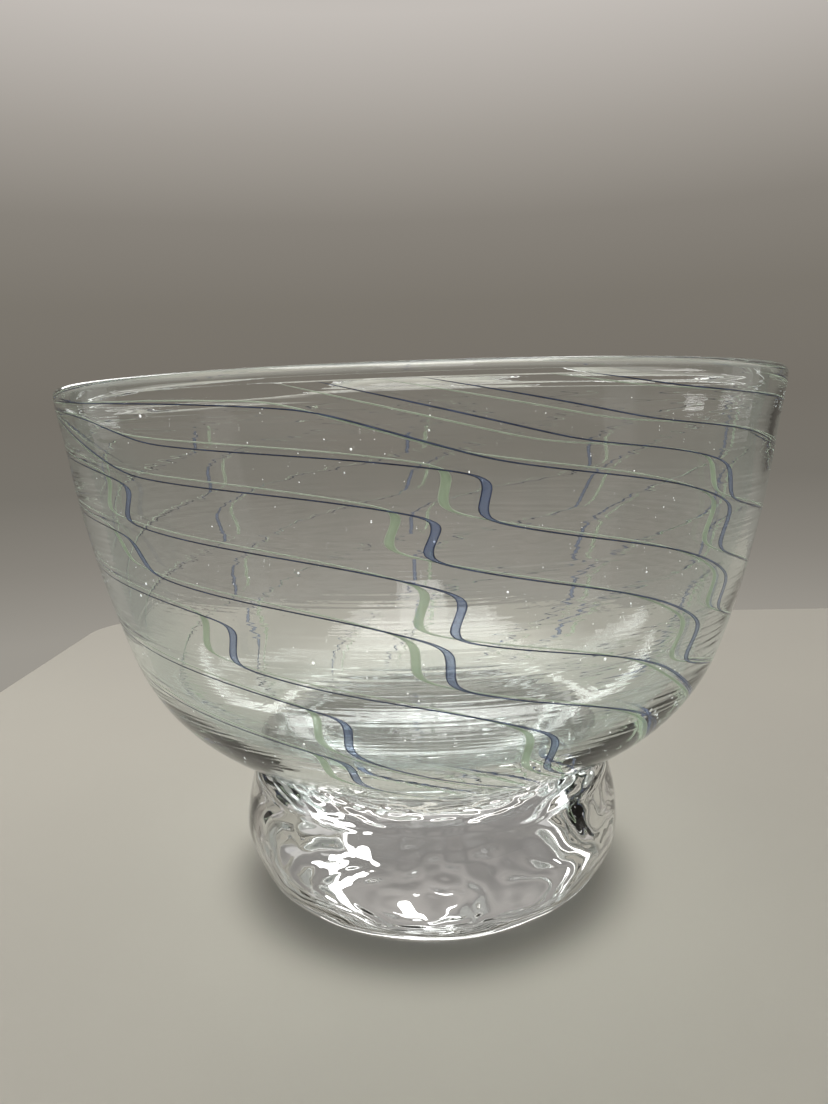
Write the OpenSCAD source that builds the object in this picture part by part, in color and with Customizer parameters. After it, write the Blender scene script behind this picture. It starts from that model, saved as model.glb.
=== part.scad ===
// Footed art glass bowl: a clear blown bowl on a solid clear foot, wound with
// pairs of fine green and blue glass threads that step down the wall.
// Millimetres. The origin is the middle of the foot's underside, +Z is up,
// and the front of the bowl faces -Y. Angles round the bowl are in degrees
// from the front, growing towards +X.

/* [Bowl] */
// Diameter over the rounded lip
rim_diameter = 200; // [170:1:240]
// Height from the table to the top of the lip
bowl_height = 150; // [130:1:180]
// Thickness of the wall, from the lip down to the belly
wall = 4; // [3:0.5:6]
// How far the lip stands out on each side of the wall
lip_bulge = 0.7; // [0.7:0.1:1.5]
// Radius of the long, gentle curve of the side, seen in section
side_curve = 290; // [220:5:400]
// Radius of the round belly under the side, seen in section
belly_curve = 52; // [44:1:60]
// How far the side leans out where it meets the belly, in degrees
belly_lean = 18; // [12:1:24]
// Radius of the belly inside the bowl, smaller so that the glass thickens downwards
inner_belly_curve = 42; // [34:1:43]

/* [Foot] */
// Height of the foot, up to the underside of the bowl
foot_height = 42; // [36:1:50]
// Diameter of the foot where it bulges most
foot_diameter = 115; // [104:1:126]
// Height of the widest place above the table
foot_bulge_height = 20; // [17:1:21]
// Radius of the curve from the widest place down to the table
foot_lower_curve = 23; // [22.5:0.5:30]
// Radius of the curve from the widest place up to the shoulder
foot_upper_curve = 40; // [32:1:60]
// Radius of the round shoulder under the bowl
foot_shoulder = 9; // [7:0.5:11]
// Height of the short neck that joins the foot to the bowl
neck_height = 2; // [1:0.5:4]
// Radius of the neck
neck_radius = 36; // [30:0.5:40]

/* [Threads] */
// Width of a thread where it runs straight down the wall
thread_width = 2.8; // [1.6:0.1:4]
// Width of a thread where it runs level round the wall
thread_line = 0.6; // [0.5:0.1:1.2]
// Thickness of a thread at its crest
thread_thickness = 0.3; // [0.2:0.05:0.5]
// Clearance between a thread and the glass that it lies on
thread_clearance = 0.1; // [0.08:0.01:0.15]
// How far the green thread of a pair steps down before the blue one, in degrees
pair_lead = 4.5; // [3:0.5:6]
// How far the green thread of a pair rises above the blue one's route
pair_rise = 2; // [1.5:0.1:3]
// Share of the fall between two steps that comes right after the first one
early_fall = 0.35; // [0.2:0.05:0.5]
// Distance below the top of the lip at which the threads start
thread_start = 3; // [2.5:0.5:6]
// Angle of the belly, from the side's upright, at which the threads end
thread_end = 73; // [60:1:76]

/* [Hidden] */
$fn = 180;

// Height of the bowl and of its foot for which the heights in STEPS are given
STEPS_TOP = 150;
STEPS_FOOT = 42;

// The steps of each pair, from where it leaves the lip to the belly. Each step
// is [angle of its middle, height of its top, height of its foot, angle that it
// moves on while it falls]. The last number of a pair is the angle at its end.
STEPS = [
    [[[-217, 148, 144, 12], [-177, 137, 128, 0], [-124, 107, 97, -2], [-72, 82, 80, 4],
      [-13, 65, 57, 0]], 14],
    [[[-190, 148, 144, 14], [-124, 124, 114, 0], [-72, 96, 92, 2], [-12, 77, 68, -1]], 32],
    [[[-165, 148, 144, 14], [-122, 137, 129, 0], [-76, 114, 108, 0], [-27, 98, 89, -2],
      [20, 70, 60, 0]], 42],
    [[[-135, 148, 143, 14], [-79, 129, 122, 0], [-41, 116, 108, 3], [3, 94, 85, 0],
      [46, 66, 58, 6]], 70],
    [[[-105, 148, 143, 14], [-79, 140, 136, 6], [-41, 127.5, 119.5, -3], [4, 105, 96, -2],
      [50, 81, 65, 20]], 88],
    [[[-76, 148, 145, 12], [-49, 141, 130, 18], [1, 120.5, 113, -2], [44, 91, 82, -2],
      [90, 60, 54, 0]], 101],
    [[[-66, 148, 144.5, 12], [-40, 141, 136.5, 10], [7, 128.5, 120.5, -1], [50, 101, 93, -1],
      [92, 70, 63, 0]], 113],
    [[[-58, 148, 146, 8], [-2, 141.5, 132, 18], [45, 118.5, 109, -2], [92, 84, 75, 0]], 128],
    [[[3, 148, 135, 28], [44, 128, 120, 2], [92, 103, 93, 0], [137, 63, 57, 0]], 149],
    [[[13, 148, 138.5, 26], [62, 132, 130, 10], [92, 119, 109, 0], [137, 79, 70, 0]], 162],
    [[[24, 148, 144.5, 12], [92, 137, 125, 0], [137, 98, 84, 2], [183, 64, 57, 0]], 198],
    [[[60, 148, 146, 12], [94, 143, 138, 4], [137, 117, 104, 3], [183, 82, 72, 0]], 222],
    [[[94, 148, 145, 14], [137, 129, 119, -2], [183, 102, 92, 0], [236, 70, 60, 0]], 256],
    [[[116, 148, 145, 12], [183, 121, 111, 2], [236, 88, 78, 0], [282, 60, 54, 0]], 296],
];

PAIRS = len(STEPS);

// The section of the wall is two arcs that meet smoothly. Each arc is measured
// by the angle that its outward normal dips below the horizontal.
wall_top_radius = rim_diameter / 2 - lip_bulge;
belly_centre_z = foot_height + belly_curve;
belly_top_z = belly_centre_z - belly_curve * sin(belly_lean);
side_centre_z = belly_top_z + side_curve * sin(belly_lean);
lip_radius = wall / 2 + lip_bulge;
lip_centre_z = bowl_height - lip_radius;
lip_dip = asin((side_centre_z - lip_centre_z) / side_curve);
side_centre_r = wall_top_radius - side_curve * cos(lip_dip);
belly_centre_r = side_centre_r + (side_curve - belly_curve) * cos(belly_lean);
side_length = (belly_lean - lip_dip) * side_curve * PI / 180;

inner_side_curve = side_curve - wall;
inner_belly_r = side_centre_r + (inner_side_curve - inner_belly_curve) * cos(belly_lean);
inner_belly_z = side_centre_z - (inner_side_curve - inner_belly_curve) * sin(belly_lean);

foot_radius = foot_diameter / 2;
foot_lower_r = foot_radius - foot_lower_curve;
foot_upper_r = foot_radius - foot_upper_curve;
foot_base_dip = asin(foot_bulge_height / foot_lower_curve);
shoulder_top = foot_height - neck_height;
shoulder_centre_z = shoulder_top - foot_shoulder;
shoulder_rise = asin((shoulder_centre_z - foot_bulge_height) / (foot_upper_curve - foot_shoulder));
shoulder_centre_r = foot_upper_r + (foot_upper_curve - foot_shoulder) * cos(shoulder_rise);

// Lift of the green threads off the wall, and of the blue ones that lie over them
green_lift = thread_clearance;
blue_lift = green_lift + thread_thickness + thread_clearance;

// Rings in each step of a thread, or more where the step moves on a long way
STEP_RINGS = 5;
// Furthest down the wall from ring to ring between two steps, on average
RING_DROP = 3;
// Share of its clearance that a thread may use up where it runs straight from
// ring to ring over the round wall, and the turn between two rings that this allows
CHORD_SHARE = 0.44;
ring_turn = 2 * acos(1 - CHORD_SHARE * thread_clearance / (rim_diameter / 2));

// Point of an arc with a given centre, at an angle that dips below the horizontal
function dip_point(r, z, curve, dip) = [r + curve * cos(dip), z - curve * sin(dip)];

// Points of an arc between two dips
function dip_arc(r, z, curve, from, to, count = 24) =
    [for (i = [0:count]) dip_point(r, z, curve, from + (to - from) * i / count)];

// Distance down the outside of the wall, measured from the lip, at a height
function down_at(z) = z > belly_top_z
    ? (asin((side_centre_z - z) / side_curve) - lip_dip) * side_curve * PI / 180
    : side_length + (asin((belly_centre_z - z) / belly_curve) - belly_lean) * belly_curve * PI / 180;

// Radius and height of a place on the wall, lifted off it by a distance
function wall_place(down, lift) = down < side_length
    ? dip_point(side_centre_r, side_centre_z, side_curve + lift,
                lip_dip + down / side_curve * 180 / PI)
    : dip_point(belly_centre_r, belly_centre_z, belly_curve + lift,
                belly_lean + (down - side_length) / belly_curve * 180 / PI);

// The same place as a point in space, at an angle round the bowl
function wall_point(angle, down, lift) =
    let (p = wall_place(down, lift)) [p[0] * sin(angle), -p[0] * cos(angle), p[1]];

// Height on this bowl of a height in STEPS, which stretches with the bowl
function step_height(z) = foot_height
    + (z - STEPS_FOOT) * (bowl_height - foot_height) / (STEPS_TOP - STEPS_FOOT);

start_down = down_at(bowl_height - thread_start);
end_down = side_length + (thread_end - belly_lean) * belly_curve * PI / 180;

// Distance down the wall of a height in STEPS, never above the start of the threads
function step_down(z) = max(start_down, down_at(step_height(z)));

// The fall from one step to the next: quick at first, then almost level, then quick again
function fall(t) = early_fall * (1 - pow(1 - t, 3)) + (1 - early_fall) * pow(t, 3);

// Route of one step, from its top to its foot, as [angle, distance down]
function step_route(step) =
    let (count = max(STEP_RINGS, ceil(abs(step[3]) / ring_turn)))
    [for (i = [0:count]) let (t = i / count)
        [step[0] + step[3] * (t - 0.5), step_down(step[1]) * (1 - t) + step_down(step[2]) * t]];

// Route between two places, with rings closer near its ends, which are left out
function stretch_route(a, b) =
    let (count = ceil(max((b[0] - a[0]) / ring_turn, (b[1] - a[1]) / RING_DROP, 5)))
    [for (i = [1:count - 1])
        let (share = i / count, t = (share + (1 - cos(180 * share)) / 2) / 2)
        [a[0] + (b[0] - a[0]) * t, a[1] + (b[1] - a[1]) * fall(t)]];

// Last item of a list
function last(list) = list[len(list) - 1];

// Whole route of a thread, from the lip to its end on the belly
function route(steps, end_angle) =
    let (parts = [for (step = steps) step_route(step)], finish = [end_angle, end_down])
    concat([for (i = [0:len(steps) - 1]) each concat(parts[i],
        stretch_route(last(parts[i]), i + 1 < len(steps) ? parts[i + 1][0] : finish))], [finish]);

// The same route with its corners rounded
function soften(path) = [for (i = [0:len(path) - 1])
    i == 0 || i == len(path) - 1 ? path[i] : (path[i - 1] + 2 * path[i] + path[i + 1]) / 4];

// Half of the thread's width at a ring, as [round the bowl, down the wall]. The
// thread was drawn out like a line from a broad pen, wide only where it falls.
function half_width(before, after, radius) =
    let (run = (after[0] - before[0]) * radius * PI / 180, drop = after[1] - before[1],
         length = norm([run, drop]), across = [-drop, run] / length,
         a = thread_width / 2, b = thread_line / 2,
         reach = norm([a * across[0], b * across[1]]))
    [a * a * across[0], b * b * across[1]] / reach;

// Three points of a thread at each ring: its two edges on the wall, and its crest
function thread_rings(path, lift) = [for (i = [0:len(path) - 1])
    let (before = path[max(i - 1, 0)], after = path[min(i + 1, len(path) - 1)], here = path[i],
         radius = wall_place(here[1], 0)[0], half = half_width(before, after, radius),
         turn = half[0] / radius * 180 / PI)
    each [wall_point(here[0] + turn, here[1] + half[1], lift),
          wall_point(here[0] - turn, here[1] - half[1], lift),
          wall_point(here[0], here[1], lift + thread_thickness)]];

// A thread of triangular section laid along its route at a lift off the wall
module thread(steps, end_angle, lift) {
    path = soften(soften(route(steps, end_angle)));
    rings = len(path);
    sides = [for (i = [0:rings - 2], k = [0:2]) let (a = 3 * i + k, b = 3 * i + (k + 1) % 3)
        each [[b, a, a + 3], [b, a + 3, b + 3]]];
    polyhedron(points = thread_rings(path, lift),
               faces = concat([[0, 1, 2]], sides, [[for (k = [2:-1:0]) 3 * (rings - 1) + k]]));
}

// Steps of the green thread of a pair: it goes down a little before the blue one,
// and after the first step it runs a little above it
function green_steps(steps) = [for (i = [0:len(steps) - 1])
    let (step = steps[i], rise = i == 0 ? 0 : pair_rise)
    [step[0] - pair_lead, step[1] + rise, step[2] + rise, step[3]]];

module green_thread(i) {
    color("#8fb894")
        thread(green_steps(STEPS[i - 1][0]), STEPS[i - 1][1] - pair_lead, green_lift);
}

module blue_thread(i) {
    color("#4f6fa5") thread(STEPS[i - 1][0], STEPS[i - 1][1], blue_lift);
}

module bowl_wall() {
    lip_mid_r = side_centre_r + (side_curve - wall / 2) * cos(lip_dip);
    color("#dfe8e6") rotate_extrude()
        polygon(concat(
            [[0, foot_height]],
            dip_arc(belly_centre_r, belly_centre_z, belly_curve, 90, belly_lean),
            dip_arc(side_centre_r, side_centre_z, side_curve, belly_lean, lip_dip, 12),
            dip_arc(lip_mid_r, lip_centre_z, lip_radius, 0, -180, 16),
            dip_arc(side_centre_r, side_centre_z, inner_side_curve, lip_dip, belly_lean, 12),
            dip_arc(inner_belly_r, inner_belly_z, inner_belly_curve, belly_lean, 90),
            [[0, inner_belly_z - inner_belly_curve]]));
}

module foot() {
    color("#e6e6e2") rotate_extrude()
        polygon(concat(
            [[0, 0]],
            dip_arc(foot_lower_r, foot_bulge_height, foot_lower_curve, foot_base_dip, 0, 12),
            dip_arc(foot_upper_r, foot_bulge_height, foot_upper_curve, 0, -shoulder_rise, 8),
            dip_arc(shoulder_centre_r, shoulder_centre_z, foot_shoulder, -shoulder_rise, -90, 10),
            [[neck_radius, shoulder_top], [neck_radius, foot_height], [0, foot_height]]));
}

bowl_wall();
foot();
for (i = [1:PAIRS]) {
    green_thread(i);
    blue_thread(i);
}
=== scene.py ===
# %% [markdown]
# A footed bowl of clear blown glass, wound with pairs of fine green and blue
# glass threads that step down its wall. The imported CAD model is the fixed
# frame: every piece made here is in metres, stands where the frame says, and
# takes the place of the plain solid of the same part.

# %% Load the frame
import math
import random

import bmesh
import bpy
from mathutils import Matrix, Vector, noise


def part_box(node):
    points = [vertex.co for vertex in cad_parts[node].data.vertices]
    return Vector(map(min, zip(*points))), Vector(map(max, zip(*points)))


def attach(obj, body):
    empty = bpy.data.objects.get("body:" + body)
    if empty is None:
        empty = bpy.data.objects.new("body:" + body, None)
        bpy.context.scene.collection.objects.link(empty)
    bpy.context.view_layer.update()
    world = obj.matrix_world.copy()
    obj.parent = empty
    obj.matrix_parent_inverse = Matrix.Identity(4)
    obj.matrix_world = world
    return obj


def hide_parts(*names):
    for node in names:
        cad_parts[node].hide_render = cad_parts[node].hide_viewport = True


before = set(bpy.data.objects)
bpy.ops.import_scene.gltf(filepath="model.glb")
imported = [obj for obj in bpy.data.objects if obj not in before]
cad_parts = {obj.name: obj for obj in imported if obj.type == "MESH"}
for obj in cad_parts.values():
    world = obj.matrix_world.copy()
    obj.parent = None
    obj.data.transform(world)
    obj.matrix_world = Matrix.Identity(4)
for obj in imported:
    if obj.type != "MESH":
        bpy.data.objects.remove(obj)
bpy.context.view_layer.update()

MM = 0.001

# %% [markdown]
# The bowl and its foot are both round, so each of them is one section, drawn
# as arcs and turned about the upright axis. The heights and widest radii come
# from the frame's boxes, and the curves are the ones that the solids have. An
# arc is given by its centre, its radius, and how far its outward normal dips
# below the level, because a blown side is read most easily as it turns under.

# %% Sizes of the bowl and its foot
rim_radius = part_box("bowl_wall")[1].x
bowl_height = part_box("bowl_wall")[1].z
seat_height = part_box("foot")[1].z
foot_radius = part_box("foot")[1].x

wall = 4 * MM
lip_bulge = 0.7 * MM
side_curve = 290 * MM
belly_curve = 52 * MM
belly_lean = math.radians(18)
inner_belly_curve = 42 * MM


def on_arc(centre, curve, dip):
    """Radius and height of the place on an arc where its normal dips by that angle."""
    return centre[0] + curve * math.cos(dip), centre[1] - curve * math.sin(dip)


def arc(centre, curve, dip_from, dip_to, count):
    """Places along an arc of the section, its first and last place included."""
    return [on_arc(centre, curve, dip_from + (dip_to - dip_from) * i / count) for i in range(count + 1)]


belly_top = seat_height + belly_curve * (1 - math.sin(belly_lean))
side_centre_z = belly_top + side_curve * math.sin(belly_lean)
bead_middle = bowl_height - wall / 2 - lip_bulge
lip_dip = math.asin((side_centre_z - bead_middle) / side_curve)
side_centre = (rim_radius - lip_bulge - side_curve * math.cos(lip_dip), side_centre_z)
belly_centre = (side_centre[0] + (side_curve - belly_curve) * math.cos(belly_lean), seat_height + belly_curve)
inner_side_curve = side_curve - wall
inner_belly_centre = on_arc(side_centre, inner_side_curve - inner_belly_curve, belly_lean)
inner_floor = inner_belly_centre[1] - inner_belly_curve
print(f"rim {2 * rim_radius / MM:.1f}, height {bowl_height / MM:.1f}, floor {inner_floor / MM:.2f} mm")

# %% [markdown]
# The foot was gathered as one solid lump of hot glass and pressed to a low
# cushion shape. The bowl was then stuck to it while both were soft, so there
# is no gap and no surface between the two inside the neck. Both meshes stay
# closed there, so that each is a sound solid of its own, but their two faces
# in the joint get a material that light passes through unbent. A helper finds
# them by their height and radius.

# %% Helpers for turned pieces
TURN_STEPS = 320
neck_radius = 36 * MM


def start_edit():
    bpy.ops.object.mode_set(mode="EDIT")


def end_edit():
    bpy.ops.object.mode_set(mode="OBJECT")


def turned(name, section):
    """Draws the section as a line of points, then spins it into a closed round piece."""
    bpy.ops.object.select_all(action="DESELECT")
    bpy.ops.mesh.primitive_plane_add(size=MM, location=(0, 0, 0))
    piece = bpy.context.object
    piece.name = piece.data.name = name
    start_edit()
    bpy.ops.mesh.merge(type="CENTER")
    bpy.ops.transform.translate(value=(section[0][0], 0, section[0][1]))
    for (r0, z0), (r1, z1) in zip(section, section[1:]):
        bpy.ops.mesh.extrude_vertices_move(TRANSFORM_OT_translate={"value": (r1 - r0, 0, z1 - z0)})
    bpy.ops.mesh.select_all(action="SELECT")
    bpy.ops.mesh.spin(steps=TURN_STEPS, angle=2 * math.pi, center=(0, 0, 0), axis=(0, 0, 1))
    bpy.ops.mesh.select_all(action="SELECT")
    bpy.ops.mesh.remove_doubles(threshold=0.01 * MM)
    bpy.ops.mesh.normals_make_consistent(inside=False)
    bpy.ops.mesh.select_all(action="DESELECT")
    end_edit()
    return piece


def joint_faces(piece):
    """Gives the faces inside the fused joint the second material of the piece."""
    count = 0
    for face in piece.data.polygons:
        c = face.center
        if abs(c.z - seat_height) < 0.005 * MM and math.hypot(c.x, c.y) < neck_radius:
            face.material_index = 1
            count += 1
    return count


def report(piece):
    """Prints the size of a piece, and how many of its edges aren't shared by two faces."""
    shape = bmesh.new()
    shape.from_mesh(piece.data)
    open_edges = sum(1 for e in shape.edges if len(e.link_faces) != 2)
    volume = shape.calc_volume(signed=True)
    shape.free()
    size = [round(v / MM, 1) for v in piece.dimensions]
    print(
        f"{piece.name}: {len(piece.data.vertices)} points, {len(piece.data.polygons)} faces, "
        f"{open_edges} open edges, {volume * 1e6:.2f} ml, size {size} mm"
    )


def finish_piece(piece, slot, *nodes):
    """The piece moves with the frame's body and stands for its plain solids. The slot is not used."""
    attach(piece, "root")
    if nodes:
        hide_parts(*nodes)

# %% [markdown]
# Glass blown by hand is never quite true: the wall swells and thins a little
# in slow waves, and a foot that was pressed with a wet pad keeps shallow
# dents. A Displace modifier with a cloud texture would do this, but it pushes
# every point, and the joint and the face that stands on the table have to
# stay flat. So the points are moved along their normals by a smooth noise
# whose strength is given as a function of the place.

# %% Slow waves in the glass
def hand_worked(piece, depth_at, stretch, seed):
    """Moves the points of a piece along their normals by smooth noise, by at most depth_at(point)."""
    shape = bmesh.new()
    shape.from_mesh(piece.data)
    shape.normal_update()
    start = Vector((seed, 2 * seed, 0))
    moves = []
    for v in shape.verts:
        place = Vector((v.co.x * stretch[0], v.co.y * stretch[1], v.co.z * stretch[2])) + start
        moves.append(v.normal * depth_at(v.co) * noise.noise(place))
    for v, move in zip(shape.verts, moves):
        v.co += move
    shape.to_mesh(piece.data)
    shape.free()
    return max(m.length for m in moves)


def smoothly(x, low, high):
    """0 below low, 1 above high, and an S curve between."""
    t = min(max((x - low) / (high - low), 0), 1)
    return t * t * (3 - 2 * t)

# %% [markdown]
# The wall is one section from the middle of its underside, out along the
# belly, up the long side, over the round fire-polished lip, down the inside
# and back to the axis. Spinning it closes it, and the first and last points
# on the axis are merged to single points. The solid's lip is a bead that
# stands out on both sides. Here the top of the side opens outwards by as much,
# with no bead, as glass does when it softens in the fire.

# %% Bowl wall
FLARE_DEPTH = 16 * MM
FLARE_END = 3 * MM
lip_edge = wall / 2
lip_top_z = bowl_height - lip_edge
lip_top_dip = math.asin((side_centre_z - lip_top_z) / side_curve)
lip_middle = on_arc(side_centre, side_curve - wall / 2, lip_top_dip)[0]


def flare(section):
    """Opens the section outwards by the lip's bulge, over the top of the side."""
    low, high = bowl_height - FLARE_DEPTH, bowl_height - FLARE_END
    return [(r + lip_bulge * smoothly(z, low, high), z) for r, z in section]


wall_section = flare(
    [(0, seat_height), (neck_radius * 0.5, seat_height), (neck_radius, seat_height)]
    + arc(belly_centre, belly_curve, math.pi / 2, belly_lean, 28)
    + arc(side_centre, side_curve, belly_lean, lip_top_dip, 26)[1:-1]
    + arc((lip_middle, lip_top_z), lip_edge, lip_top_dip, lip_top_dip - math.pi, 20)
    + arc(side_centre, inner_side_curve, lip_top_dip, belly_lean, 26)[1:]
    + arc(inner_belly_centre, inner_belly_curve, belly_lean, math.pi / 2, 28)[1:]
    + [(inner_belly_centre[0] * k, inner_floor) for k in (0.75, 0.5, 0.25, 0)]
)
glass_wall = turned("glass_wall", wall_section)


def on_wall_radius(z):
    """Radius of the outside of the wall at a height."""
    if z > belly_top:
        return side_centre[0] + math.sqrt(side_curve**2 - (side_centre[1] - z) ** 2)
    return belly_centre[0] + math.sqrt(max(belly_curve**2 - (belly_centre[1] - z) ** 2, 0))


def wall_waves(p):
    """The inside may wave by 0.35 mm and the outside by 0.05 mm. The joint and the lip stay true."""
    inside = math.hypot(p.x, p.y) < on_wall_radius(p.z) - 0.6 * wall
    off_joint = smoothly(p.z, seat_height + 1 * MM, seat_height + 7 * MM)
    off_lip = 1 - smoothly(p.z, bowl_height - 9 * MM, bowl_height - 3 * MM)
    return (0.35 if inside else 0.05) * MM * off_joint * off_lip


print("wall waves by", round(hand_worked(glass_wall, wall_waves, (22, 22, 38), 3.1) / MM, 3), "mm at most")
finish_piece(glass_wall, "clear_glass", "bowl_wall")
report(glass_wall)

# %% [markdown]
# The foot's section goes from the middle of its base, round the low bulge and
# the soft shoulder, to the short neck under the bowl. Its base is flat, with
# the ground rim rounded off, and its dents are deeper on the side, where the
# pad touched it.

# %% Foot
bulge_height = 20 * MM
lower_curve = 23 * MM
upper_curve = 40 * MM
shoulder_curve = 9 * MM
neck_height = 2 * MM

lower_centre = (foot_radius - lower_curve, bulge_height)
upper_centre = (foot_radius - upper_curve, bulge_height)
base_dip = math.asin(bulge_height / lower_curve)
shoulder_top = seat_height - neck_height
shoulder_z = shoulder_top - shoulder_curve
shoulder_rise = math.asin((shoulder_z - bulge_height) / (upper_curve - shoulder_curve))
shoulder_centre = on_arc(upper_centre, upper_curve - shoulder_curve, -shoulder_rise)
base_radius = on_arc(lower_centre, lower_curve, base_dip)[0]
foot_section = (
    [(base_radius * k, 0) for k in (0, 0.25, 0.5, 0.75)]
    + arc(lower_centre, lower_curve, base_dip, 0, 22)
    + arc(upper_centre, upper_curve, 0, -shoulder_rise, 10)[1:]
    + arc(shoulder_centre, shoulder_curve, -shoulder_rise, -math.pi / 2, 14)[1:]
    + [(neck_radius + 1.2 * MM, shoulder_top), (neck_radius + 0.3 * MM, shoulder_top + 0.6 * MM)]
    + [(neck_radius * k, seat_height) for k in (1, 0.5, 0)]
)
glass_foot = turned("glass_foot", foot_section)


def foot_dents(p):
    """Up to 0.5 mm on the side of the foot, and none on its base or in the joint."""
    return 0.5 * MM * smoothly(p.z, 1 * MM, 9 * MM) * (1 - smoothly(p.z, shoulder_top - 4 * MM, shoulder_top))


print("foot dented by", round(hand_worked(glass_foot, foot_dents, (55, 55, 70), 7.4) / MM, 3), "mm at most")
finish_piece(glass_foot, "clear_glass", "foot")
report(glass_foot)

# %% [markdown]
# Each pair of threads runs from the lip to the belly in a few steep steps,
# with long, nearly level stretches between them. The maker trailed hot
# coloured glass from a thin rod while the bowl turned, so a thread is wide
# where it falls and hair-thin where it runs level, as a line from a broad pen.
# The steps are the ones that the solids have. Each is the angle of its middle
# from the front, the heights of its top and its foot, and the angle that it
# moves on while it falls. The last number of a pair is the angle at its end.

# %% Steps of the threads
PAIR_STEPS = [
    [[(-217, 148, 144, 12), (-177, 137, 128, 0), (-124, 107, 97, -2), (-72, 82, 80, 4), (-13, 65, 57, 0)],
     14],
    [[(-190, 148, 144, 14), (-124, 124, 114, 0), (-72, 96, 92, 2), (-12, 77, 68, -1)], 32],
    [[(-165, 148, 144, 14), (-122, 137, 129, 0), (-76, 114, 108, 0), (-27, 98, 89, -2), (20, 70, 60, 0)], 42],
    [[(-135, 148, 143, 14), (-79, 129, 122, 0), (-41, 116, 108, 3), (3, 94, 85, 0), (46, 66, 58, 6)], 70],
    [[(-105, 148, 143, 14), (-79, 140, 136, 6), (-41, 127.5, 119.5, -3), (4, 105, 96, -2), (50, 81, 65, 20)],
     88],
    [[(-76, 148, 145, 12), (-49, 141, 130, 18), (1, 120.5, 113, -2), (44, 91, 82, -2), (90, 60, 54, 0)], 101],
    [[(-66, 148, 144.5, 12), (-40, 141, 136.5, 10), (7, 128.5, 120.5, -1), (50, 101, 93, -1), (92, 70, 63, 0)],
     113],
    [[(-58, 148, 146, 8), (-2, 141.5, 132, 18), (45, 118.5, 109, -2), (92, 84, 75, 0)], 128],
    [[(3, 148, 135, 28), (44, 128, 120, 2), (92, 103, 93, 0), (137, 63, 57, 0)], 149],
    [[(13, 148, 138.5, 26), (62, 132, 130, 10), (92, 119, 109, 0), (137, 79, 70, 0)], 162],
    [[(24, 148, 144.5, 12), (92, 137, 125, 0), (137, 98, 84, 2), (183, 64, 57, 0)], 198],
    [[(60, 148, 146, 12), (94, 143, 138, 4), (137, 117, 104, 3), (183, 82, 72, 0)], 222],
    [[(94, 148, 145, 14), (137, 129, 119, -2), (183, 102, 92, 0), (236, 70, 60, 0)], 256],
    [[(116, 148, 145, 12), (183, 121, 111, 2), (236, 88, 78, 0), (282, 60, 54, 0)], 296],
]
THREADS_BELOW_LIP = 3 * MM
THREADS_END_DIP = math.radians(73)
side_length = (belly_lean - lip_dip) * side_curve


def down_at(z):
    """Distance down the outside of the wall, from the lip, at a height."""
    if z > belly_top:
        return (math.asin((side_centre[1] - z) / side_curve) - lip_dip) * side_curve
    return side_length + (math.asin((belly_centre[1] - z) / belly_curve) - belly_lean) * belly_curve


def wall_place(down, lift):
    """Radius and height of the place that far down the wall, lifted off it by a distance."""
    if down < side_length:
        return on_arc(side_centre, side_curve + lift, lip_dip + down / side_curve)
    return on_arc(belly_centre, belly_curve + lift, belly_lean + (down - side_length) / belly_curve)


def wall_point(angle, down, lift):
    """The same place as a point in space, at an angle round the bowl from its front, in degrees."""
    r, z = flare([wall_place(down, lift)])[0]
    return Vector((r * math.sin(math.radians(angle)), -r * math.cos(math.radians(angle)), z))


start_down = down_at(bowl_height - THREADS_BELOW_LIP)
end_down = side_length + (THREADS_END_DIP - belly_lean) * belly_curve
print("threads start", round(start_down / MM, 1), "and end", round(end_down / MM, 1), "mm down the wall")

# %% [markdown]
# A route is a list of places, each an angle and a distance down the wall.
# Between two steps it falls quickly, runs almost level, and falls quickly
# again. Its corners are then rounded by averaging each place with its
# neighbours, as the hot thread rounded them by itself, and more places are
# put between them on a smooth curve through all of them.

# %% Route of a thread
CHORD_SAG = 0.044 * MM
DROP_PER_PLACE = 3 * MM
EARLY_FALL = 0.35
ring_turn = 2 * math.degrees(math.acos(1 - CHORD_SAG / rim_radius))


def step_route(step):
    angle, top, foot, lean = step
    count = max(5, math.ceil(abs(lean) / ring_turn))
    top_down, foot_down = (max(start_down, down_at(z * MM)) for z in (top, foot))
    shares = [i / count for i in range(count + 1)]
    return [(angle + lean * (t - 0.5), top_down * (1 - t) + foot_down * t) for t in shares]


def stretch_route(a, b):
    count = math.ceil(max((b[0] - a[0]) / ring_turn, (b[1] - a[1]) / DROP_PER_PLACE, 5))
    places = []
    for i in range(1, count):
        t = (i / count + (1 - math.cos(math.pi * i / count)) / 2) / 2
        fall = EARLY_FALL * (1 - (1 - t) ** 3) + (1 - EARLY_FALL) * t**3
        places.append((a[0] + (b[0] - a[0]) * t, a[1] + (b[1] - a[1]) * fall))
    return places


def soften(route):
    triples = zip(route, route[1:], route[2:])
    inner = [tuple((a[k] + 2 * b[k] + c[k]) / 4 for k in (0, 1)) for a, b, c in triples]
    return [route[0]] + inner + [route[-1]]


def refine(route):
    """Puts one more place between each two, on a smooth curve through them all."""
    fine = []
    for i in range(len(route) - 1):
        before, a, b, after = route[max(i - 1, 0)], route[i], route[i + 1], route[min(i + 2, len(route) - 1)]
        fine.append(a)
        fine.append(tuple((9 * (a[k] + b[k]) - before[k] - after[k]) / 16 for k in (0, 1)))
    return fine + [route[-1]]


def thread_route(steps, end_angle):
    parts = [step_route(step) for step in steps]
    route = []
    for i, part in enumerate(parts):
        following = parts[i + 1][0] if i + 1 < len(parts) else (end_angle, end_down)
        route += part + stretch_route(part[-1], following)
    route.append((end_angle, end_down))
    return refine(soften(soften(route)))


print("pair 4 has", len(thread_route(*PAIR_STEPS[3])), "places")

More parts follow.
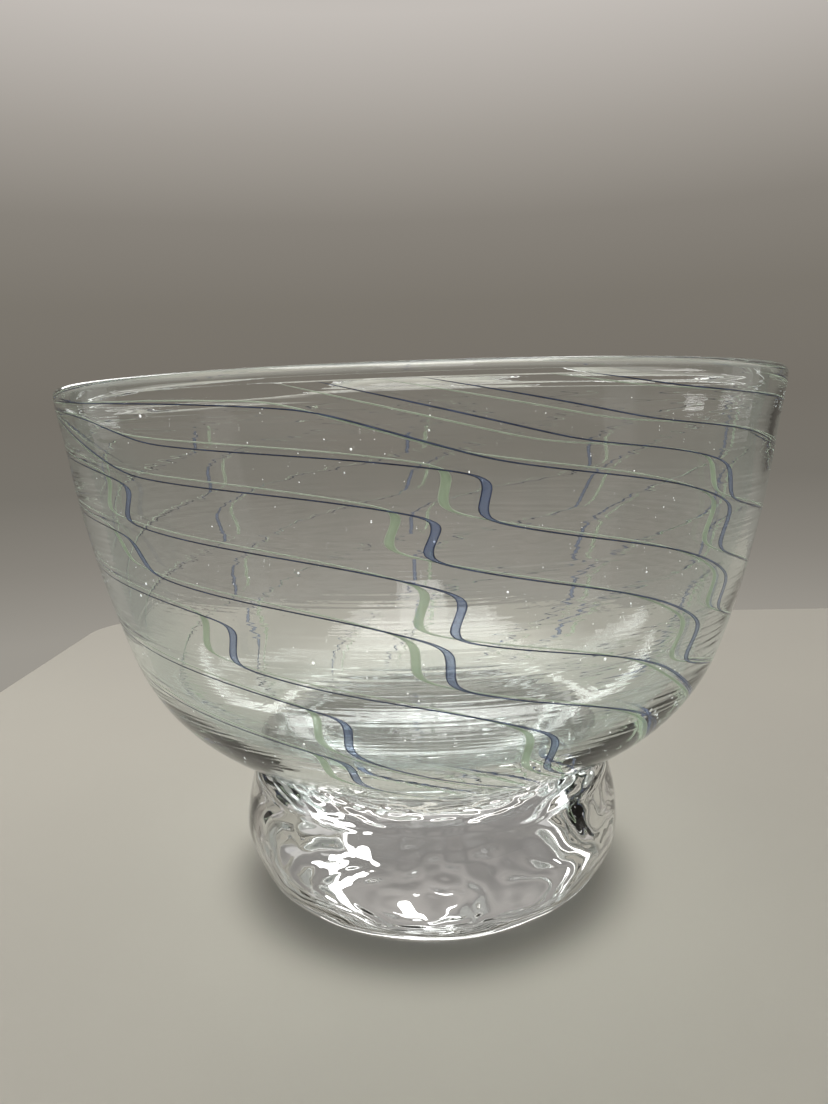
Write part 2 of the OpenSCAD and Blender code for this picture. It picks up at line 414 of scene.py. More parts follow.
# %% [markdown]
# A thread is modelled straight, as a long thin ball with ten sides, which is
# closed at both ends. Each ring of the ball is then laid on its place of the
# route. Its section is a flat lens, as wide as a broad pen would draw it
# there. A bevelled curve would be quicker, but its section can't widen one
# way and stay thin the other way. The lens sits just under the outer skin of
# the wall, where the heat sank it, and the blue lies over the green. Under the
# belly, and on the back of the bowl, the threads were drawn out finer.

# %% Threads
SECTION_SIDES = 10
thread_width = 2.2 * MM
thread_line = 0.30 * MM
lens_depth = 0.34 * MM
green_depth = 0.72 * MM
blue_depth = 0.30 * MM
PAIR_LEAD = 4.5
PAIR_RISE = 2
TAPER_RINGS = 8
PEN_POWER = 0.9
TAIL_NARROWER = 0.5
BACK_FROM, BACK_FULL = 95, 125
BACK_NARROWER, BACK_FINER, BACK_WEAKER = 0.25, 0.6, 0.55


def behind(angle):
    """0 on the front of the bowl, 1 on its back."""
    return smoothly(abs((angle + 180) % 360 - 180), BACK_FROM, BACK_FULL)


def pen_reach(before, after, radius, breadth, line):
    """Half of the width of the thread at a ring, as (round the bowl, down the wall)."""
    run, drop = math.radians(after[0] - before[0]) * radius, after[1] - before[1]
    length = math.hypot(run, drop)
    across = (-drop / length, run / length)
    b = line / 2
    a = b + (thread_width / 2 - b) * breadth * abs(across[0]) ** PEN_POWER
    reach = math.hypot(a * across[0], b * across[1])
    return a * a * across[0] / reach, b * b * across[1] / reach


def wind_thread(name, steps, end_angle, depth):
    """Makes a straight thread and lays it along its route, that deep under the skin of the wall."""
    route = thread_route(steps, end_angle)
    rings = len(route) - 1
    tail_down = down_at(steps[-1][2] * MM)
    bpy.ops.object.select_all(action="DESELECT")
    bpy.ops.mesh.primitive_uv_sphere_add(
        segments=SECTION_SIDES, ring_count=rings, radius=1, location=(0, 0, 0)
    )
    thread = bpy.context.object
    thread.name = thread.data.name = name
    from_edge, strength = [], []
    for v in thread.data.vertices:
        ring = round(math.acos(max(-1, min(1, v.co.z))) / math.pi * rings)
        round_it = math.atan2(v.co.y, v.co.x)
        angle, down = route[ring]
        before, after = route[max(ring - 1, 0)], route[min(ring + 1, rings)]
        radius = wall_place(down, 0)[0]
        tail = smoothly(down, tail_down + 0.5 * MM, tail_down + 4 * MM)
        breadth = (1 - TAIL_NARROWER * tail) * (1 - BACK_NARROWER * behind(angle))
        reach = pen_reach(before, after, radius, breadth, thread_line * (1 - BACK_FINER * behind(angle)))
        taper = 0 if ring in (0, rings) else min(1, (min(ring, rings - ring) / TAPER_RINGS) ** 0.5)
        across, out = taper * math.cos(round_it), taper * math.sin(round_it)
        turn = math.degrees(reach[0] / radius)
        v.co = wall_point(angle + turn * across, down + reach[1] * across, -depth + lens_depth / 2 * out)
        strength.append(1 - BACK_WEAKER * behind(angle))
        from_edge.append((taper - abs(across)) * math.hypot(*reach) / MM)
    for label, values in (("from_edge", from_edge), ("strength", strength)):
        thread.data.attributes.new(label, "FLOAT", "POINT").data.foreach_set("value", values)
    start_edit()
    bpy.ops.mesh.select_all(action="SELECT")
    bpy.ops.mesh.normals_make_consistent(inside=False)
    bpy.ops.mesh.select_all(action="DESELECT")
    end_edit()
    return thread


def green_steps(steps):
    """The green thread steps down a little before the blue one, and then runs a little above it."""
    rises = [0] + [PAIR_RISE] * (len(steps) - 1)
    lifted = zip(steps, rises)
    return [(angle - PAIR_LEAD, top + up, foot + up, lean) for (angle, top, foot, lean), up in lifted]


green_threads, blue_threads = [], []
for number, (steps, end_angle) in enumerate(PAIR_STEPS, 1):
    green = wind_thread(f"green_line_{number}", green_steps(steps), end_angle - PAIR_LEAD, green_depth)
    blue = wind_thread(f"blue_line_{number}", steps, end_angle, blue_depth)
    finish_piece(green, "green_glass", f"green_thread_{number}")
    finish_piece(blue, "blue_glass", f"blue_thread_{number}")
    green_threads.append(green)
    blue_threads.append(blue)
report(green_threads[0])
report(blue_threads[-1])

# %% [markdown]
# Small gas bubbles, called seeds, stay in glass that is melted in a studio
# pot. They are the tiny bright specks all over the wall. One seed is modelled
# as a ball of few faces, and its copies are strewn through the middle of the
# wall's thickness by a seeded random number, most of them hair-fine, and
# joined into one piece.

# %% Seeds in the wall
SEEDS = 420
SMALLEST, SPREAD = 0.10 * MM, 0.22 * MM
SHALLOWEST, DEEPEST = 1.4, 2.9
rng = random.Random(27)
bpy.ops.object.select_all(action="DESELECT")
bpy.ops.mesh.primitive_uv_sphere_add(segments=8, ring_count=6, radius=1, location=(0, 0, 0))
first_seed = bpy.context.object
seeds = []
for _ in range(SEEDS):
    angle = rng.uniform(-180, 180)
    down = rng.uniform(start_down + 3 * MM, end_down)
    size = SMALLEST + SPREAD * rng.random() ** 4
    copy = first_seed.copy()
    copy.data = first_seed.data.copy()
    bpy.context.collection.objects.link(copy)
    copy.location = wall_point(angle, down, -rng.uniform(SHALLOWEST, DEEPEST) * MM)
    copy.scale = (size, size, size * rng.uniform(0.9, 1.1))
    seeds.append(copy)
bpy.data.objects.remove(first_seed)
bpy.ops.object.select_all(action="DESELECT")
for seed in seeds:
    seed.select_set(True)
bpy.context.view_layer.objects.active = seeds[0]
bpy.ops.object.transform_apply(location=True, rotation=True, scale=True)
bpy.ops.object.join()
seed_bubbles = bpy.context.object
seed_bubbles.name = seed_bubbles.data.name = "seed_bubbles"
finish_piece(seed_bubbles, "clear_glass")
report(seed_bubbles)

# %% [markdown]
# All round pieces are shaded smooth, because flat facets would break the
# reflections and the view through the glass. Only the rims of the joint keep
# a hard edge, so that the smooth shading doesn't bend round them.

# %% Smooth shading
for piece in [glass_wall, glass_foot, seed_bubbles] + green_threads + blue_threads:
    bpy.ops.object.select_all(action="DESELECT")
    piece.select_set(True)
    bpy.context.view_layer.objects.active = piece
    bpy.ops.object.shade_smooth_by_angle(angle=math.radians(50))
print("shaded", 3 + len(green_threads) + len(blue_threads), "pieces")

# %% [markdown]
# Materials come next. What all the glass here shares is its worked skin: fine
# level cords, drawn out round the bowl as it turned, over a slower swell. It
# is built once as a node group that reads the Object coordinates, with the
# spacing and the share of the two as inputs. It gives out a height, for a
# Bump node in each material, and a mask for slight changes of tint and gloss.

# %% Node helpers and the worked-skin group
def node(tree, kind, **settings):
    made = tree.nodes.new(kind)
    for key, value in settings.items():
        if key.startswith("in_"):
            made.inputs[key[3:].replace("_", " ")].default_value = value
        else:
            setattr(made, key, value)
    return made


def new_group(name, inputs, outputs):
    group = bpy.data.node_groups.new(name, "ShaderNodeTree")
    for label, kind, value in inputs:
        socket = group.interface.new_socket(label, in_out="INPUT", socket_type=kind)
        socket.default_value = value
    for label, kind in outputs:
        group.interface.new_socket(label, in_out="OUTPUT", socket_type=kind)
    return group, node(group, "NodeGroupInput"), node(group, "NodeGroupOutput")


worked_skin, given, out = new_group(
    "worked_skin",
    [
        ("Cord Spacing", "NodeSocketFloat", 300.0),
        ("Swell Spacing", "NodeSocketFloat", 40.0),
        ("Swell Share", "NodeSocketFloat", 0.8),
    ],
    [("Height", "NodeSocketFloat"), ("Mask", "NodeSocketFloat")],
)
links = worked_skin.links.new
place = node(worked_skin, "ShaderNodeTexCoord")
drawn = node(worked_skin, "ShaderNodeVectorMath", operation="MULTIPLY")
drawn.inputs[1].default_value = (9.0, 9.0, 1.0)
levels = node(worked_skin, "ShaderNodeCombineXYZ")
split = node(worked_skin, "ShaderNodeSeparateXYZ")
lift = node(worked_skin, "ShaderNodeMath", operation="MULTIPLY")
cords = node(worked_skin, "ShaderNodeTexNoise", in_Scale=1.0, in_Detail=1.0, in_Roughness=0.5)
swell = node(worked_skin, "ShaderNodeTexNoise", in_Detail=0.0)
mix = node(worked_skin, "ShaderNodeMix", data_type="FLOAT")
links(place.outputs["Object"], drawn.inputs[0])
links(drawn.outputs[0], split.inputs[0])
links(split.outputs["Z"], lift.inputs[0])
links(given.outputs["Cord Spacing"], lift.inputs[1])
links(split.outputs["X"], levels.inputs["X"])
links(split.outputs["Y"], levels.inputs["Y"])
links(lift.outputs[0], levels.inputs["Z"])
links(levels.outputs[0], cords.inputs["Vector"])
links(place.outputs["Object"], swell.inputs["Vector"])
links(given.outputs["Swell Spacing"], swell.inputs["Scale"])
links(given.outputs["Swell Share"], mix.inputs["Factor"])
links(cords.outputs["Fac"], mix.inputs["A"])
links(swell.outputs["Fac"], mix.inputs["B"])
links(mix.outputs["Result"], out.inputs["Height"])
links(swell.outputs["Fac"], out.inputs["Mask"])
print("worked_skin group has", len(worked_skin.nodes), "nodes")

# %% [markdown]
# Clear glass bends light and hardly colours it. The Principled shader does
# that with Transmission Weight at 1 and an IOR of 1.5. A renderer that traces
# light backwards can't find a lamp through two bends, and would leave a black
# shadow, so for shadow rays alone the material is see-through: the Light Path
# node picks it. The skin's mask drives a faint change of tint and gloss. The
# wall looks teal where it is seen along its thickness, at its slanting edges
# and low on the belly. The foot's slanting edges get a grey-brown tint instead,
# which is painted shade that darkens its sides. The relief fades with height:
# over the polished lip on the wall, and above the rough base on the foot.

# %% Clear glass
def new_material(name):
    material = bpy.data.materials.new(name)
    material.use_nodes = True
    material.node_tree.nodes.clear()
    return material, material.node_tree


def two_tints(tree, mask, low, high):
    ramp = node(tree, "ShaderNodeValToRGB")
    ramp.color_ramp.elements[0].position, ramp.color_ramp.elements[1].position = 0.35, 0.65
    ramp.color_ramp.elements[0].color = (*low, 1)
    ramp.color_ramp.elements[1].color = (*high, 1)
    tree.links.new(mask, ramp.inputs["Fac"])
    return ramp.outputs["Color"]


STEEPNESS = 2.1
TEAL_UP_TO = 85 * MM


def clear_glass(
    name, low, high, edge_tint_and_shade, low_tint, cords, swells, swell_share, bump_depth, calm, gloss, shade
):
    """calm holds the heights between which the relief fades, and the share of it that stays."""
    material, tree = new_material(name)
    skin = node(tree, "ShaderNodeGroup", node_tree=worked_skin)
    skin.inputs["Cord Spacing"].default_value = cords
    skin.inputs["Swell Spacing"].default_value = swells
    skin.inputs["Swell Share"].default_value = swell_share
    bump = node(tree, "ShaderNodeBump", in_Strength=1.0, in_Distance=bump_depth)
    place = node(tree, "ShaderNodeTexCoord")
    split = node(tree, "ShaderNodeSeparateXYZ")
    fade = node(
        tree, "ShaderNodeMapRange", in_From_Min=calm[0], in_From_Max=calm[1], in_To_Min=1.0, in_To_Max=calm[2]
    )
    relief = node(tree, "ShaderNodeMath", operation="MULTIPLY")
    glass = node(tree, "ShaderNodeBsdfPrincipled", in_IOR=1.5, in_Metallic=0.0)
    glass.inputs["Transmission Weight"].default_value = 1.0
    polish = node(tree, "ShaderNodeMapRange", in_To_Min=gloss[0], in_To_Max=gloss[1])
    let_through = node(tree, "ShaderNodeBsdfTransparent", in_Color=(*shade, 1))
    slant = node(tree, "ShaderNodeLayerWeight", in_Blend=0.25)
    steep = node(tree, "ShaderNodeMath", operation="POWER")
    steep.inputs[1].default_value = STEEPNESS
    thick = node(tree, "ShaderNodeMapRange", interpolation_type="SMOOTHSTEP")
    teal = {"From Min": seat_height, "From Max": TEAL_UP_TO, "To Min": low_tint, "To Max": 0.0}
    for label, value in teal.items():
        thick.inputs[label].default_value = value
    both = node(tree, "ShaderNodeMath", operation="ADD", use_clamp=True)
    tint = node(tree, "ShaderNodeMix", data_type="RGBA")
    tint.inputs["B"].default_value = (*edge_tint_and_shade, 1)
    ray = node(tree, "ShaderNodeLightPath")
    choose = node(tree, "ShaderNodeMixShader")
    surface = node(tree, "ShaderNodeOutputMaterial")
    link = tree.links.new
    link(place.outputs["Object"], split.inputs[0])
    link(split.outputs["Z"], fade.inputs["Value"])
    link(skin.outputs["Height"], relief.inputs[0])
    link(fade.outputs["Result"], relief.inputs[1])
    link(relief.outputs[0], bump.inputs["Height"])
    link(bump.outputs["Normal"], glass.inputs["Normal"])
    link(slant.outputs["Facing"], steep.inputs[0])
    link(split.outputs["Z"], thick.inputs["Value"])
    link(steep.outputs[0], both.inputs[0])
    link(thick.outputs["Result"], both.inputs[1])
    link(both.outputs[0], tint.inputs["Factor"])
    link(two_tints(tree, skin.outputs["Mask"], low, high), tint.inputs["A"])
    link(tint.outputs["Result"], glass.inputs["Base Color"])
    link(skin.outputs["Mask"], polish.inputs["Value"])
    link(polish.outputs["Result"], glass.inputs["Roughness"])
    link(ray.outputs["Is Shadow Ray"], choose.inputs["Fac"])
    link(glass.outputs[0], choose.inputs[1])
    link(let_through.outputs[0], choose.inputs[2])
    link(choose.outputs[0], surface.inputs["Surface"])
    return material


wall_glass = clear_glass(
    "clear_wall_glass", low=(0.965, 0.98, 0.975), high=(0.99, 0.995, 0.99),
    edge_tint_and_shade=(0.30, 0.69, 0.65), low_tint=0.06,
    cords=700.0, swells=70.0, swell_share=0.30, bump_depth=0.09 * MM,
    calm=(bowl_height - 8 * MM, bowl_height - 3 * MM, 0.0), gloss=(0.0, 0.012), shade=(0.90, 0.915, 0.905),
)
# The foot's grey-brown edge tint is painted shade on its slanting sides.
foot_glass = clear_glass(
    "clear_foot_glass", low=(0.965, 0.975, 0.97), high=(0.99, 0.99, 0.99),
    edge_tint_and_shade=(0.62, 0.60, 0.57), low_tint=0.0,
    cords=90.0, swells=200.0, swell_share=0.8, bump_depth=0.95 * MM,
    calm=(0.3 * MM, 1.5 * MM, 0.07), gloss=(0.0, 0.004), shade=(0.84, 0.84, 0.83),
)
print("made", wall_glass.name, "and", foot_glass.name)

# %% [markdown]
# In the fused joint there is no surface at all, so its faces are fully
# see-through.

# %% Fused joint
fused, tree = new_material("fused_joint")
clear = node(tree, "ShaderNodeBsdfTransparent", in_Color=(1, 1, 1, 1))
surface = node(tree, "ShaderNodeOutputMaterial")
tree.links.new(clear.outputs[0], surface.inputs["Surface"])

for piece, glass in ((glass_wall, wall_glass), (glass_foot, foot_glass)):
    piece.data.materials.append(glass)
    piece.data.materials.append(fused)
    print(piece.name, "has", joint_faces(piece), "faces in the joint")

# %% [markdown]
# Coloured glass inside clear glass shows no surface of its own: it only
# filters the light that passes, and scatters a little of it, the pale green
# more than the blue. So a thread mixes a tinted Transparent shader with a
# softly lit one. It is strongest along its two edges: the green is milkier
# there, and the blue darker, partly its own deeper colour and partly painted
# shade for the dark line that bent light draws along a rounded thread. The
# group below takes the distance from the edge, which each thread keeps as an
# attribute, and adds streaks that run along it.

# %% Thread-colour group
thread_colour, given, out = new_group(
    "thread_colour",
    [
        ("From Edge", "NodeSocketFloat", 0.0),
        ("Edge Width", "NodeSocketFloat", 0.3),
        ("Middle", "NodeSocketColor", (1, 1, 1, 1)),
        ("Edge", "NodeSocketColor", (0, 0, 0, 1)),
    ],
    [("Color", "NodeSocketColor"), ("Density", "NodeSocketFloat")],
)
links = thread_colour.links.new
place = node(thread_colour, "ShaderNodeTexCoord")
edge = node(
    thread_colour, "ShaderNodeMapRange", interpolation_type="SMOOTHSTEP", in_To_Min=1.0, in_To_Max=0.0
)
along = node(thread_colour, "ShaderNodeVectorMath", operation="MULTIPLY")
along.inputs[1].default_value = (260.0, 260.0, 90.0)
streaks = node(thread_colour, "ShaderNodeTexNoise", in_Scale=1.0, in_Detail=2.0)
centred = node(thread_colour, "ShaderNodeMath", operation="SUBTRACT")
centred.inputs[1].default_value = 0.5
sway = node(thread_colour, "ShaderNodeMath", operation="MULTIPLY_ADD", use_clamp=True)
sway.inputs[1].default_value = 0.8
colours = node(thread_colour, "ShaderNodeMix", data_type="RGBA")
links(given.outputs["From Edge"], edge.inputs["Value"])
links(given.outputs["Edge Width"], edge.inputs["From Max"])
links(place.outputs["Object"], along.inputs[0])
links(along.outputs[0], streaks.inputs["Vector"])
links(streaks.outputs["Fac"], centred.inputs[0])
links(centred.outputs[0], sway.inputs[0])
links(edge.outputs["Result"], sway.inputs[2])
links(sway.outputs[0], colours.inputs["Factor"])
links(given.outputs["Middle"], colours.inputs["A"])
links(given.outputs["Edge"], colours.inputs["B"])
links(colours.outputs["Result"], out.inputs["Color"])
links(sway.outputs[0], out.inputs["Density"])
print("thread_colour group has", len(thread_colour.nodes), "nodes")

# %% [markdown]
# The green is pale and milky, the blue darker and clearer. The tint that
# passes through, the colour that is lit in the middle and at the edge, how
# much of each there is, and the width of the edge in millimetres are set for
# each of the two glasses. The threads on the back keep a weaker strength, as
# an attribute, because they were drawn out finer.

# %% Green and blue thread glass
def thread_glass(name, middle, edge, through, share, edge_width):
    material, tree = new_material(name)
    distance = node(tree, "ShaderNodeAttribute", attribute_name="from_edge")
    colour = node(tree, "ShaderNodeGroup", node_tree=thread_colour)
    colour.inputs["Edge Width"].default_value = edge_width
    colour.inputs["Middle"].default_value = (*middle, 1)
    colour.inputs["Edge"].default_value = (*edge, 1)
    lit = node(tree, "ShaderNodeBsdfPrincipled", in_Roughness=0.6, in_Specular_IOR_Level=0.1)
    strength = node(tree, "ShaderNodeAttribute", attribute_name="strength")
    weaker = node(tree, "ShaderNodeMath", operation="MULTIPLY")
    filtered = node(tree, "ShaderNodeBsdfTransparent", in_Color=(*through, 1))
    amount = node(tree, "ShaderNodeMapRange", in_To_Min=share[0], in_To_Max=share[1])
    choose = node(tree, "ShaderNodeMixShader")
    surface = node(tree, "ShaderNodeOutputMaterial")
    link = tree.links.new
    link(distance.outputs["Fac"], colour.inputs["From Edge"])
    link(colour.outputs["Color"], lit.inputs["Base Color"])
    link(colour.outputs["Density"], amount.inputs["Value"])
    link(amount.outputs["Result"], weaker.inputs[0])
    link(strength.outputs["Fac"], weaker.inputs[1])
    link(weaker.outputs[0], choose.inputs["Fac"])
    link(filtered.outputs[0], choose.inputs[1])
    link(lit.outputs[0], choose.inputs[2])
    link(choose.outputs[0], surface.inputs["Surface"])
    return material


green_glass = thread_glass(
    "green_thread_glass", middle=(0.76, 0.94, 0.70), edge=(0.88, 0.95, 0.82),
    through=(0.95, 0.98, 0.94), share=(0.42, 0.66), edge_width=0.40,
)
# The blue's near-black edge colour is partly painted shade.
blue_glass = thread_glass(
    "blue_thread_glass", middle=(0.26, 0.36, 0.66), edge=(0.02, 0.03, 0.08),
    through=(0.80, 0.85, 0.94), share=(0.24, 0.85), edge_width=0.60,
)
for thread in green_threads:
    thread.data.materials.append(green_glass)
for thread in blue_threads:
    thread.data.materials.append(blue_glass)

# %% [markdown]
# A seed is a hole in the glass. Light that meets it slantwise is turned back
# as by a mirror, so it looks like a bright silver speck. That reflection is
# painted: the seed is a near-white, glossy surface, a painted glint. A faint
# painted glow of its own stands for the light that runs along inside the wall.

# %% Seeds
seed_skin, tree = new_material("seed_painted_glint")
skin = node(tree, "ShaderNodeGroup", node_tree=worked_skin)
# The near-white, glossy seed is a painted glint.
painted_glint = node(tree, "ShaderNodeBsdfPrincipled", in_Roughness=0.15, in_IOR=1.5)
surface = node(tree, "ShaderNodeOutputMaterial")
tints = two_tints(tree, skin.outputs["Mask"], (0.86, 0.88, 0.88), (1, 1, 1))
tree.links.new(tints, painted_glint.inputs["Base Color"])
# The emission is a painted glow; a seed is no lamp.
painted_glint.inputs["Emission Color"].default_value = (1, 1, 0.98, 1)
painted_glint.inputs["Emission Strength"].default_value = 0.8
tree.links.new(painted_glint.outputs[0], surface.inputs["Surface"])
seed_bubbles.data.materials.append(seed_skin)
print("seeds use", seed_skin.name)

# %% [markdown]
# The stage is a pale mat with rounded corners under the bowl. It is a plane
# with its corners bevelled and its edge given a thickness. One corner is pulled
# out a little, so the back edge runs askew. The mat lies a hair below the foot,
# and close round the foot its colour is darkened: painted shade for the little
# light that reaches there.

# %% Pale mat
MAT_SIZE = (0.66, 1.0)
MAT_MIDDLE = (0.095, -0.19, -0.0003)
SHADE_FROM, SHADE_TO, SHADE_DEPTH = 0.044, 0.073, 0.24
bpy.ops.object.select_all(action="DESELECT")
bpy.ops.mesh.primitive_plane_add(size=1, location=(0, 0, 0))
mat = bpy.context.object
mat.name = mat.data.name = "pale_mat"
start_edit()
bpy.ops.mesh.select_all(action="SELECT")
bpy.ops.transform.resize(value=(*MAT_SIZE, 1), center_override=(0, 0, 0))
bpy.ops.transform.translate(value=MAT_MIDDLE)
shape = bmesh.from_edit_mesh(mat.data)
for v in shape.verts:
    v.select = v.co.x < 0 < v.co.y
shape.select_flush_mode()
bmesh.update_edit_mesh(mat.data)
bpy.ops.transform.translate(value=(0, 0.04, 0))
bpy.ops.mesh.select_all(action="SELECT")
bpy.ops.mesh.bevel(offset=0.04, segments=12, affect="VERTICES")
bpy.ops.mesh.select_all(action="SELECT")
bpy.ops.mesh.extrude_region_move(TRANSFORM_OT_translate={"value": (0, 0, -0.004)})
bpy.ops.mesh.select_all(action="SELECT")
bpy.ops.mesh.normals_make_consistent(inside=False)
bpy.ops.mesh.select_all(action="DESELECT")
end_edit()
edge_round = mat.modifiers.new("soft edge", "BEVEL")
edge_round.width, edge_round.segments, edge_round.limit_method = 0.0015, 3, "ANGLE"
bpy.ops.object.modifier_apply(modifier="soft edge")

mat_skin, tree = new_material("mat_skin")
place = node(tree, "ShaderNodeTexCoord")
cloud = node(tree, "ShaderNodeTexNoise", in_Scale=5.0, in_Detail=3.0)
matt = node(tree, "ShaderNodeBsdfPrincipled", in_Roughness=0.55)
surface = node(tree, "ShaderNodeOutputMaterial")
tree.links.new(place.outputs["Object"], cloud.inputs["Vector"])
spread = node(tree, "ShaderNodeVectorMath", operation="LENGTH")
# Painted contact shade: the mat's colour darkens towards the foot.
under = node(
    tree, "ShaderNodeMapRange", interpolation_type="SMOOTHERSTEP",
    in_From_Min=SHADE_FROM, in_From_Max=SHADE_TO, in_To_Min=SHADE_DEPTH, in_To_Max=1.0,
)
shaded = node(tree, "ShaderNodeVectorMath", operation="SCALE")
tree.links.new(place.outputs["Object"], spread.inputs[0])
tree.links.new(spread.outputs["Value"], under.inputs["Value"])
tints = two_tints(tree, cloud.outputs["Fac"], (0.53, 0.51, 0.455), (0.55, 0.53, 0.47))
tree.links.new(tints, shaded.inputs[0])
tree.links.new(under.outputs["Result"], shaded.inputs["Scale"])
tree.links.new(shaded.outputs[0], matt.inputs["Base Color"])
tree.links.new(matt.outputs[0], surface.inputs["Surface"])
mat.data.materials.append(mat_skin)
print("mat reaches", [round(v, 3) for v in mat.dimensions], "m")

# %% [markdown]
# The world is the inside of a lit cloth tent. Behind the bowl it is a soft
# grey-brown that grows lighter upwards to a bright band, and it is lighter
# again below the level. It is a colour ramp on how far each direction points
# up, which is the Z of the world's Generated coordinate. The tent's open front,
# towards -Y, lets in a little more light.

# %% World
world = bpy.data.worlds.new("tent")
bpy.context.scene.world = world
world.use_nodes = True
tree = world.node_tree
tree.nodes.clear()
direction = node(tree, "ShaderNodeTexCoord")
split = node(tree, "ShaderNodeSeparateXYZ")
rise = node(tree, "ShaderNodeMapRange", in_From_Min=-1.0, in_From_Max=1.0)
ramp = node(tree, "ShaderNodeValToRGB")
background = node(tree, "ShaderNodeBackground", in_Strength=1.0)
surface = node(tree, "ShaderNodeOutputWorld")
tent_colours = [
    (-1.0, (0.30, 0.29, 0.26)),
    (-0.23, (0.33, 0.31, 0.275)),
    (-0.15, (0.245, 0.228, 0.20)),
    (-0.07, (0.185, 0.172, 0.148)),
    (0.02, (0.178, 0.162, 0.138)),
    (0.13, (0.198, 0.181, 0.154)),
    (0.22, (0.245, 0.225, 0.197)),
    (0.30, (0.36, 0.333, 0.30)),
    (0.41, (0.55, 0.515, 0.48)),
    (0.50, (0.40, 0.38, 0.36)),
    (0.62, (0.24, 0.23, 0.22)),
    (1.0, (0.42, 0.41, 0.39)),
]
ramp.color_ramp.elements[0].position = 0.0
ramp.color_ramp.elements[0].color = (*tent_colours[0][1], 1)
ramp.color_ramp.elements[1].position = 1.0
ramp.color_ramp.elements[1].color = (*tent_colours[-1][1], 1)
for height, colour in tent_colours[1:-1]:
    ramp.color_ramp.elements.new((height + 1) / 2).color = (*colour, 1)
tree.links.new(direction.outputs["Generated"], split.inputs[0])
tree.links.new(split.outputs["Z"], rise.inputs["Value"])
tree.links.new(rise.outputs["Result"], ramp.inputs["Fac"])
opening = node(
    tree, "ShaderNodeMapRange", interpolation_type="SMOOTHSTEP",
    in_From_Min=0.4, in_From_Max=-0.5, in_To_Min=1.0, in_To_Max=1.2,
)
brighter = node(tree, "ShaderNodeVectorMath", operation="SCALE")
tree.links.new(split.outputs["Y"], opening.inputs["Value"])
tree.links.new(ramp.outputs["Color"], brighter.inputs[0])
tree.links.new(opening.outputs["Result"], brighter.inputs["Scale"])
tree.links.new(brighter.outputs[0], background.inputs["Color"])
tree.links.new(background.outputs[0], surface.inputs["Surface"])
print("tent has", len(tent_colours), "colours")

# %% [markdown]
# The strips and panels of the light tent are soft lamps that light the glass
# alone. The roof draws the bright line along the lip and lights up the foot
# from above, and the ones behind stand as pale bands in the wall. Two more
# lamps light the mat alone, and a narrow lamp behind the bowl throws the small
# pool of light that glass gathers on the mat. The camera sees none of the
# soft lamps.

# %% Lamps
MIDDLE, LOW, HIGH = (0, 0, 0), (0, 0, 0.03), (0, 0, 0.1)


def add_lamp(kind, name, place, target, power, colour):
    bpy.ops.object.light_add(type=kind, location=place)
    lamp = bpy.context.object
    lamp.name = lamp.data.name = name
    lamp.data.energy = power
    lamp.data.color = colour
    lamp.rotation_euler = (Vector(target) - Vector(place)).to_track_quat("-Z", "Y").to_euler()
    return lamp


def soft_lamps(group, receivers, colour, lamps):
    """Rectangular lamps that light only the receivers: name, place, target, width and length, watts."""
    lit = bpy.data.collections.new(group)
    for receiver in receivers:
        lit.objects.link(receiver)
    for name, place, target, size, power in lamps:
        lamp = add_lamp("AREA", name, place, target, power, colour)
        lamp.data.shape = "RECTANGLE"
        lamp.data.size, lamp.data.size_y = size
        lamp.light_linking.receiver_collection = lit
        lamp.visible_camera = False


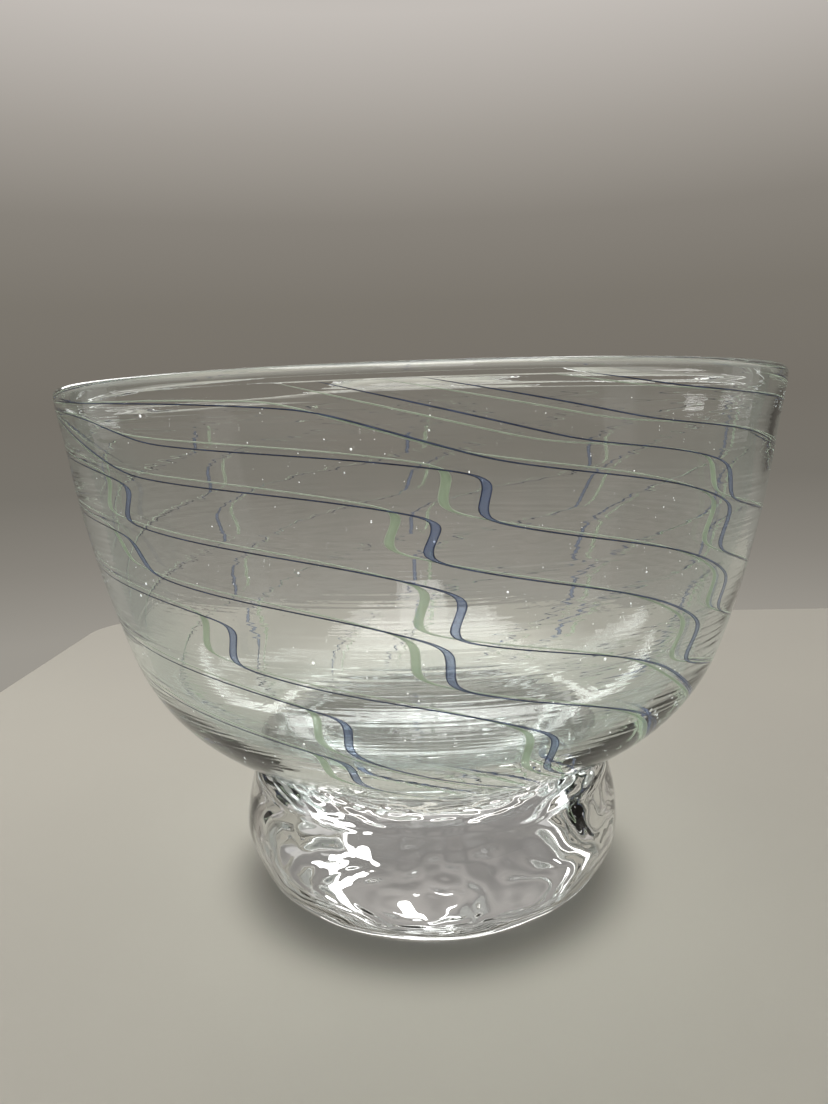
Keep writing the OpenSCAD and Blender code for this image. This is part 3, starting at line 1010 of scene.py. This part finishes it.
tent_lamps = [
    ("roof", (0, 0, 0.60), MIDDLE, (0.42, 0.30), 1.5),
    ("roof_front", (0.02, -0.34, 0.60), HIGH, (0.20, 0.34), 0.6),
    ("roof_back", (0, 0.36, 0.60), (0, 0.36, 0), (0.80, 0.34), 0.3),
    ("back_strip", (0, 0.62, 0.30), LOW, (0.62, 0.045), 0.33),
    ("panel_1", (0.150, 0.42, 0.42), LOW, (0.06, 0.24), 0.14),
    ("panel_2", (-0.330, 0.36, 0.37), LOW, (0.12, 0.26), 0.33),
    ("left_side", (-0.42, 0.05, 0.22), HIGH, (0.12, 0.30), 0.03),
    ("right_side", (0.42, 0.05, 0.22), HIGH, (0.12, 0.30), 0.03),
]
mat_lamps = [
    ("mat_light", (0.10, 0.28, 0.60), (0.10, 0.28, 0), (1.1, 0.5), 2.1),
    ("mat_left", (-0.30, 0.08, 0.40), (-0.30, 0.08, 0), (0.2, 0.4), 0.50),
]
soft_lamps("only_glass", [glass_wall, glass_foot, seed_bubbles], (1.0, 0.99, 0.97), tent_lamps)
soft_lamps("only_mat", [mat], (1.0, 0.985, 0.96), mat_lamps)
pool = add_lamp("SPOT", "pool", (0.02, 0.34, 0.50), (0.015, 0.175, 0), 5.0, (1.0, 1.0, 0.98))
pool.data.spot_size = math.radians(22)
pool.data.spot_blend = 1.0
pool.data.shadow_soft_size = 0.03

# %% [markdown]
# The camera stands close in front of the bowl, a finger's breadth below the
# height of its lip, and looks a little down. Its lens is wide, so the bowl
# fills the frame and its near side looms.

# %% Camera
TURN, TILT, ROLL = 0.69, -9.08, -1.92
bpy.ops.object.camera_add(location=(0, -0.2503, 0.1395))
camera = bpy.context.object
camera.name = "camera"
camera.data.sensor_width = 36
camera.data.lens = 27.03
camera.data.clip_start, camera.data.clip_end = 0.005, 20
turn = Matrix.Rotation(math.radians(TURN), 3, "Z")
tilt = Matrix.Rotation(math.radians(90 + TILT), 3, "X")
roll = Matrix.Rotation(math.radians(ROLL), 3, "Z")
camera.rotation_euler = (turn @ tilt @ roll).to_euler()
bpy.context.scene.camera = camera
print("camera turned by", [round(math.degrees(v), 2) for v in camera.rotation_euler])

# %% [markdown]
# Glass needs many bounces, because a view through the bowl crosses eight or
# more surfaces and a dozen threads. The plain view transform keeps colours as
# they are set.

# %% Light paths and colour
scene = bpy.context.scene
scene.cycles.max_bounces = 24
scene.cycles.transmission_bounces = 20
scene.cycles.glossy_bounces = 8
scene.cycles.diffuse_bounces = 3
scene.cycles.transparent_max_bounces = 48
scene.cycles.sample_clamp_indirect = 6.0
scene.view_settings.view_transform = "Standard"
print("bounces", scene.cycles.max_bounces)
